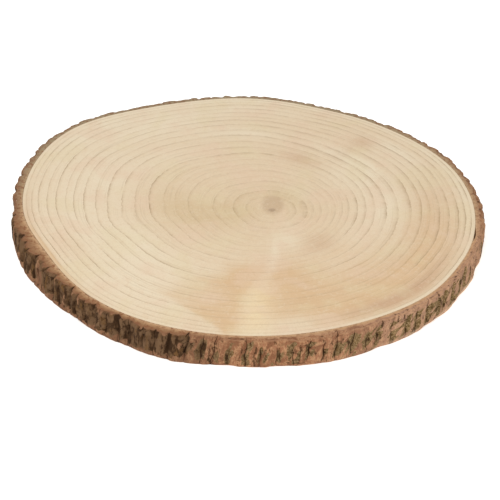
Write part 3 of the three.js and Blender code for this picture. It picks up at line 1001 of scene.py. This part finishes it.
def furrowed_bark(colours):
    """Dry bark, rubbed on its ridges and edges, sawn across at top and base, and elsewhere in its
    weathered skin. It gives the eye rust and tan fibres, olive or grey-brown skin with dark cracks, an
    olive-grey rim at the back, and no shine. Its dark side is darker partly in its own colour and partly
    by painted shade, the rubbed bark opposite is paler partly by painted light, and a painted highlight
    lies along the foot at the right."""
    material, tree, shader = new_material("furrowed_bark")
    place = add(tree, "TexCoord", {}, "Object")
    weathered, crack, sawn, outward, flake, darkness, greyed, foot_highlight = (
        add(tree, "Attribute", {}, "Fac", attribute_name=name)
        for name in ("weathered", "crack", "sawn", "outward", "flake", "darkness", "greyed", "foot_highlight")
    )

    # Upright streaks 3 mm and 1 mm wide, blotches 6 mm across and grit under 1 mm
    upright = add(tree, "Mapping", {"Vector": place, "Scale": (1.0, 1.0, 0.36)})
    streaks = add(tree, "TexNoise",
                  {"Vector": upright, "Scale": grain(2.86), "Detail": 4.0, "Roughness": 0.6})
    fibres = add(tree, "TexNoise",
                 {"Vector": upright, "Scale": grain(1.053), "Detail": 3.0, "Roughness": 0.6})
    blotches = add(tree, "TexNoise",
                   {"Vector": place, "Scale": grain(5.88), "Detail": 3.0, "Roughness": 0.6})
    grit = add(tree, "TexNoise",
               {"Vector": place, "Scale": grain(0.769), "Detail": 3.0, "Roughness": 0.65})

    # Rubbed bark, darker on the dark side, partly in its own colour and partly by painted shade, and paler
    # opposite it, partly bleached and partly by painted light
    light_fibres = add(tree, "MapRange", {0: fibres, 1: 0.38, 2: 0.62}, **RAMP)
    facets = add(tree, "Math", {0: flake, 1: 0.30, 2: blotches}, operation="MULTIPLY_ADD")
    red_patches = add(tree, "MapRange", {0: facets, 1: 0.54, 2: 0.78, 3: 0.0, 4: 0.85}, **RAMP)
    dark_streaks = add(tree, "MapRange", {0: streaks, 1: 0.34, 2: 0.45, 3: 0.8, 4: 0.0}, **RAMP)
    rubbed_grit = add(tree, "MapRange", {0: grit, 1: 0.54, 2: 0.70, 3: 0.0, 4: 0.45}, **RAMP)
    shaded = add(tree, "Math", {0: darkness, 1: 0.60}, operation="MULTIPLY")
    bleached_and_lit = add(tree, "MapRange", {0: darkness, 1: 0.0, 2: 0.3, 3: 0.5, 4: 0.0}, **RAMP)
    rubbed = colours.rust
    for cover, tint in (
        (light_fibres, colours.tan_fibre),
        (red_patches, colours.red_brown),
        (shaded, colours.shaded),
        (bleached_and_lit, colours.bleached_and_lit),
        (rubbed_grit, colours.crack),
        (dark_streaks, colours.crack),
    ):
        rubbed = add(tree, "Mix", {0: cover, 6: rubbed, 7: tint}, 2, **COLOURS)

    # Weathered skin, mottled dry olive where it is light and grey-brown where it is dark; the dark side's
    # darkness is partly its own colour and partly painted shade
    patchy = add(tree, "TexNoise",
                 {"Vector": place, "Scale": grain(1.613), "Detail": 3.0, "Roughness": 0.7})
    mottle = add(tree, "MapRange", {0: patchy, 1: 0.40, 2: 0.60}, **RAMP)
    dry_flecks = add(tree, "MapRange", {0: grit, 1: 0.54, 2: 0.67}, **RAMP)
    furred = add(tree, "MapRange", {0: fibres, 1: 0.38, 2: 0.62}, **RAMP)
    skin_cracks = add(tree, "MapRange", {0: streaks, 1: 0.36, 2: 0.47, 3: 0.85, 4: 0.0}, **RAMP)
    dry_skin = add(tree, "Mix", {0: mottle, 6: colours.olive, 7: colours.dry_olive}, 2, **COLOURS)
    dry_skin = add(tree, "Mix", {0: dry_flecks, 6: dry_skin, 7: colours.fleck}, 2, **COLOURS)
    plates = add(tree, "MapRange", {0: facets, 1: 0.46, 2: 0.80}, **RAMP)
    golden = add(tree, "MapRange", {0: streaks, 1: 0.52, 2: 0.62, 3: 0.0, 4: 0.7}, **RAMP)
    dark_skin_and_shade = add(tree, "Mix", {0: furred, 6: colours.dark_skin_and_shade, 7: colours.brown_skin}, 2, **COLOURS)
    dark_skin_and_shade = add(tree, "Mix", {0: golden, 6: dark_skin_and_shade, 7: colours.golden_skin}, 2, **COLOURS)
    dark_skin_and_shade = add(tree, "Mix", {0: plates, 6: dark_skin_and_shade, 7: colours.grey_skin}, 2, **COLOURS)
    skin = add(tree, "Mix", {0: darkness, 6: dry_skin, 7: dark_skin_and_shade}, 2, **COLOURS)
    skin = add(tree, "Mix", {0: skin_cracks, 6: skin, 7: colours.crack}, 2, **COLOURS)

    # The skin ends raggedly
    ragged = add(tree, "Math", {0: streaks, 1: 1.2, 2: -0.6}, operation="MULTIPLY_ADD")
    ragged = add(tree, "Math", {0: grit, 1: 0.5, 2: ragged}, operation="MULTIPLY_ADD")
    ragged = add(tree, "Math", {0: ragged, 1: weathered}, operation="ADD")
    ragged = add(tree, "MapRange", {0: ragged, 1: 0.58, 2: 0.82}, **RAMP)
    colour = add(tree, "Mix", {0: ragged, 6: rubbed, 7: skin}, 2, **COLOURS)

    # Sawn faces: speckled, darker on the dark side, partly in their own colour and partly by painted shade,
    # and at the outer edge, yellower by the wood, and grey at the back
    outer_share = add(tree, "MapRange", {0: darkness, 1: 0.0, 2: 1.0, 3: 0.15, 4: 0.75})
    speckle = add(tree, "MapRange", {0: darkness, 1: 0.0, 2: 1.0, 3: 0.40, 4: 0.85})
    saw_grain = add(tree, "TexNoise",
                    {"Vector": place, "Scale": grain(2.38), "Detail": 4.0, "Roughness": 0.65})
    saw_grain = add(tree, "MapRange", {0: saw_grain, 1: 0.44, 2: 0.66, 3: 0.0, 4: speckle}, **RAMP)
    outer = add(tree, "MapRange", {0: outward, 1: 0.40, 2: 1.0, 3: 0.0, 4: outer_share}, **RAMP)
    inner = add(tree, "MapRange", {0: outward, 1: 0.15, 2: 0.60, 3: 0.85, 4: 0.0}, **RAMP)
    innermost = add(tree, "MapRange", {0: outward, 1: 0.04, 2: 0.30, 3: 0.75, 4: 0.0}, **RAMP)
    dark_side = add(tree, "Math", {0: darkness, 1: 0.85}, operation="MULTIPLY")
    sawn_colour = colours.sawn
    for cover, tint in (
        (dark_side, colours.dark_sawn_and_shade),
        (outer, colours.red_brown),
        (inner, colours.inner_bark),
        (innermost, colours.innermost_bark),
        (greyed, colours.grey_rim),
        (saw_grain, colours.red_brown),
    ):
        sawn_colour = add(tree, "Mix", {0: cover, 6: sawn_colour, 7: tint}, 2, **COLOURS)
    colour = add(tree, "Mix", {0: sawn, 6: colour, 7: sawn_colour}, 2, **COLOURS)
    # A painted highlight along the foot at the right
    colour = add(tree, "Mix", {0: foot_highlight, 6: colour, 7: colours.foot_highlight}, 2, **COLOURS)

    # Cracks end in grit
    dark = add(tree, "Math", {0: grit, 1: 0.6, 2: -0.3}, operation="MULTIPLY_ADD")
    dark = add(tree, "Math", {0: dark, 1: crack}, operation="ADD")
    dark = add(tree, "MapRange", {0: dark, 1: 0.25, 2: 0.60, 3: 0.0, 4: 0.92}, **RAMP)
    colour = add(tree, "Mix", {0: dark, 6: colour, 7: colours.crack}, 2, **COLOURS)

    relief = add(tree, "Math", {0: streaks, 1: 0.8, 2: grit}, operation="MULTIPLY_ADD")
    normal = add(tree, "Bump", {"Strength": 1.0, "Distance": 0.8 * MM, "Height": relief})
    tree.links.new(normal, shader.inputs["Normal"])
    tree.links.new(colour, shader.inputs["Base Color"])
    shader.inputs["Roughness"].default_value = 0.93
    shader.inputs["Specular IOR Level"].default_value = 0.08
    return material


# Settings that a user would change

def colour_setting(name, hex_colour, description):
    """A colour that is given in sRGB and kept linear."""
    return FloatVectorProperty(name=name, description=description, subtype="COLOR", size=4,
                               min=0, max=1, default=linear(hex_colour))


def length_setting(name, millimetres, description):
    """A length that is given in millimetres and kept in metres."""
    return FloatProperty(name=name, description=description, unit="LENGTH", precision=5,
                         min=0, default=millimetres * MM)


class SliceWoodSettings(bpy.types.PropertyGroup):
    """Size and colours of the wood"""

    eased_edge: length_setting("Eased edge", 0.2, "How far the wood's sharp sawn edges are eased")
    cream: colour_setting("Cream", "DFC9AA", "Most of the sanded wood")
    pale: colour_setting("Pale", "E6D6BA", "Pale streaks and the left of the face")
    tan: colour_setting("Tan", "D6B58D", "Warm stains and the late wood of each year")
    pink: colour_setting("Pink", "E0C4A8", "Faint rosy patches")
    yellow: colour_setting("Yellow", "DCCCA4", "Faint straw-coloured patches")
    straw: colour_setting("Straw", "E8CFA2", "The yellow end of the pale ray")
    brown: colour_setting("Brown", "C8A584", "Brown stains near the bark")
    olive: colour_setting("Olive", "D4BC97", "The duller wood round the heart")
    heart: colour_setting("Heart", "C8AE8E", "The grey-brown patch round the pith")
    pith: colour_setting("Pith", "AE9478", "The pith")
    year_line: colour_setting("Year line", "A08462", "The dark line that ends each year")


class SliceBarkSettings(bpy.types.PropertyGroup):
    """Sizes and colours of the bark"""

    seam: length_setting("Seam", 0.03, "The gap between the wood and the bark")
    grain_waver: length_setting("Grain waver", 3.6, "How far the streaks waver sideways")
    foot_scallops: length_setting("Foot scallops", 1.2, "Depth of the shallow scallops at the foot")
    fine_relief: FloatProperty(name="Fine relief", description="How much of their full depth fibres, "
                               "lumps and flakes have", subtype="FACTOR", min=0, max=1, default=0.7)
    rust: colour_setting("Rust", "AA7454", "Rubbed ridges")
    tan_fibre: colour_setting("Tan fibre", "C8986F", "Light fibres on the ridges")
    # Rubbed bark is paler on the light side, partly bleached and partly by painted light, and darker on the
    # dark side, partly in its own colour and partly by painted shade
    bleached_and_lit: colour_setting("Bleached", "C6A286", "Paler rubbed bark on the right")
    red_brown: colour_setting("Red brown", "8A5A3E", "Darker patches of the rubbed bark")
    shaded: colour_setting("Shaded", "745843", "Rubbed bark of the dark side")
    # A painted highlight along the foot at the right
    foot_highlight: colour_setting("Pale foot", "EAC6A8", "Clean bark along the foot at the right")
    olive: colour_setting("Olive", "66502F", "Weathered skin")
    dry_olive: colour_setting("Dry olive", "9A7E58", "Drier weathered skin")
    fleck: colour_setting("Fleck", "BEA27C", "Light flecks of the skin")
    # The dark side's skin colours are darker partly in their own colour and partly by painted shade
    dark_skin_and_shade: colour_setting("Dark skin", "3C2917", "Weathered skin of the dark side")
    brown_skin: colour_setting("Brown skin", "5E442E", "Its lighter fibres")
    golden_skin: colour_setting("Golden skin", "765532", "Its golden streaks")
    grey_skin: colour_setting("Grey skin", "765A41", "Its smoother plates")
    crack: colour_setting("Crack", "3A2616", "The bottoms of the furrows")
    sawn: colour_setting("Sawn bark", "CCA07C", "Bark that the saw has cut across")
    # Darker partly in its own colour and partly by painted shade
    dark_sawn_and_shade: colour_setting("Dark sawn bark", "98724F", "Sawn bark of the dark side")
    grey_rim: colour_setting("Grey rim", "A09276", "Sawn bark along the back")
    inner_bark: colour_setting("Inner bark", "C69B72", "The paler inner half of the sawn bark")
    innermost_bark: colour_setting("Innermost bark", "D2AE88", "The narrow yellow band next to the wood")


class SliceStageSettings(bpy.types.PropertyGroup):
    """Camera, light and floor"""

    lens: FloatProperty(name="Lens", description="Focal length on a 36 mm sensor",
                        default=108, unit="CAMERA")
    distance: FloatProperty(name="Distance", description="From the camera to the point it looks at",
                            default=1.089, unit="LENGTH")
    pitch: FloatProperty(name="Pitch", description="How far the camera looks down",
                         default=math.radians(33), subtype="ANGLE")
    sky: FloatProperty(name="Sky", description="Strength of the even light from all round", default=0.72)
    lamp: FloatProperty(name="Lamp", description="Power of the soft lamp, in watts", default=13,
                        unit="POWER")
    floor: colour_setting("Floor", "F7F6F4", "The plain floor")
    floor_glow: FloatProperty(name="Floor glow", description="Its own light, which softens shadows",
                              default=0.45)


# Operators

class SLICE_OT_wood(bpy.types.Operator):
    """Build the sanded disc of wood with its growth rings"""

    bl_idname = "slice.wood"
    bl_label = "Wood"

    def execute(self, context):
        settings = context.scene.slice_wood
        points, faces, values = wood_surface(settings)
        material = sanded_end_grain(settings)
        piece = make_piece("wood_disc", points, faces, material, values)
        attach(piece, "root")
        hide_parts("wood")
        return {"FINISHED"}


class SLICE_OT_bark(bpy.types.Operator):
    """Build the ring of furrowed bark"""

    bl_idname = "slice.bark"
    bl_label = "Bark"

    def execute(self, context):
        settings = context.scene.slice_bark
        points, faces, values = bark_surface(settings)
        material = furrowed_bark(settings)
        piece = make_piece("bark_ring", points, faces, material, values)
        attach(piece, "root")
        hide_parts("bark")
        return {"FINISHED"}


# The stage in metres: the floor, the round lamp, and the point that the camera looks at
FLOOR_HALF_SIDE = 3.0
FLOOR_DROP = 0.0002
LAMP_WIDTH = 1.2
LAMP_PLACE = (-0.25, -0.9, 1.5)
CAMERA_AIM = (0.00276, -0.03338, 0.0)


class SLICE_OT_stage(bpy.types.Operator):
    """Build the plain floor, the soft light and the camera at the photo's angle"""

    bl_idname = "slice.stage"
    bl_label = "Stage"

    def execute(self, context):
        scene, settings = context.scene, context.scene.slice_stage
        self.add_floor(scene, settings)
        self.add_light(scene, settings)
        self.add_camera(scene, settings)
        scene.view_settings.view_transform = "Standard"
        return {"FINISHED"}

    def add_floor(self, scene, settings):
        """A square sheet just under the slice."""
        side, height = FLOOR_HALF_SIDE, -FLOOR_DROP
        corners = [(x * side, y * side, height) for x, y in ((-1, -1), (1, -1), (1, 1), (-1, 1))]
        mesh = bpy.data.meshes.new("floor")
        mesh.from_pydata(corners, [], [(0, 1, 2, 3)])
        material, _, shader = new_material("painted_floor")
        shader.inputs["Base Color"].default_value = settings.floor
        shader.inputs["Roughness"].default_value = 0.8
        shader.inputs["Emission Color"].default_value = settings.floor
        shader.inputs["Emission Strength"].default_value = settings.floor_glow
        mesh.materials.append(material)
        floor = bpy.data.objects.new("floor", mesh)
        scene.collection.objects.link(floor)

    def add_light(self, scene, settings):
        """Even light from all round, and a large soft lamp above to the left of the camera."""
        world = bpy.data.worlds.new("studio")
        world.use_nodes = True
        world.node_tree.nodes["Background"].inputs["Color"].default_value = (1, 1, 1, 1)
        world.node_tree.nodes["Background"].inputs["Strength"].default_value = settings.sky
        scene.world = world
        lamp = bpy.data.lights.new("softbox", "AREA")
        lamp.shape = "DISK"
        lamp.size = LAMP_WIDTH
        lamp.energy = settings.lamp
        holder = bpy.data.objects.new("softbox", lamp)
        holder.location = LAMP_PLACE
        holder.rotation_euler = (-holder.location).to_track_quat("-Z", "Y").to_euler()
        scene.collection.objects.link(holder)

    def add_camera(self, scene, settings):
        """Square to the slice, looking down at it along +Y."""
        camera = bpy.data.cameras.new("camera")
        camera.sensor_width = 36
        camera.lens = settings.lens
        camera.clip_start, camera.clip_end = 0.05, 20
        holder = bpy.data.objects.new("camera", camera)
        back = Vector((0, -math.cos(settings.pitch), math.sin(settings.pitch)))
        holder.location = Vector(CAMERA_AIM) + back * settings.distance
        holder.rotation_euler = (-back).to_track_quat("-Z", "Y").to_euler()
        scene.collection.objects.link(holder)
        scene.camera = holder


class SLICE_PT_panel(bpy.types.Panel):
    """Buttons and settings of the wood slice"""

    bl_idname = "SLICE_PT_panel"
    bl_label = "Wood Slice"
    bl_space_type = "VIEW_3D"
    bl_region_type = "UI"
    bl_category = "Wood Slice"

    def draw(self, context):
        scene = context.scene
        for operator, settings in (
            (SLICE_OT_wood, scene.slice_wood),
            (SLICE_OT_bark, scene.slice_bark),
            (SLICE_OT_stage, scene.slice_stage),
        ):
            box = self.layout.box()
            box.operator(operator.bl_idname)
            for name in settings.__annotations__:
                box.prop(settings, name)


SETTINGS = {
    "slice_wood": SliceWoodSettings,
    "slice_bark": SliceBarkSettings,
    "slice_stage": SliceStageSettings,
}
CLASSES = (*SETTINGS.values(), SLICE_OT_wood, SLICE_OT_bark, SLICE_OT_stage, SLICE_PT_panel)


def register():
    for each in CLASSES:
        bpy.utils.register_class(each)
    for name, settings in SETTINGS.items():
        setattr(bpy.types.Scene, name, PointerProperty(type=settings))


def unregister():
    for name in SETTINGS:
        delattr(bpy.types.Scene, name)
    for each in reversed(CLASSES):
        bpy.utils.unregister_class(each)


def main():
    register()
    bpy.ops.slice.wood()
    bpy.ops.slice.bark()
    bpy.ops.slice.stage()


if __name__ == "__main__":
    main()
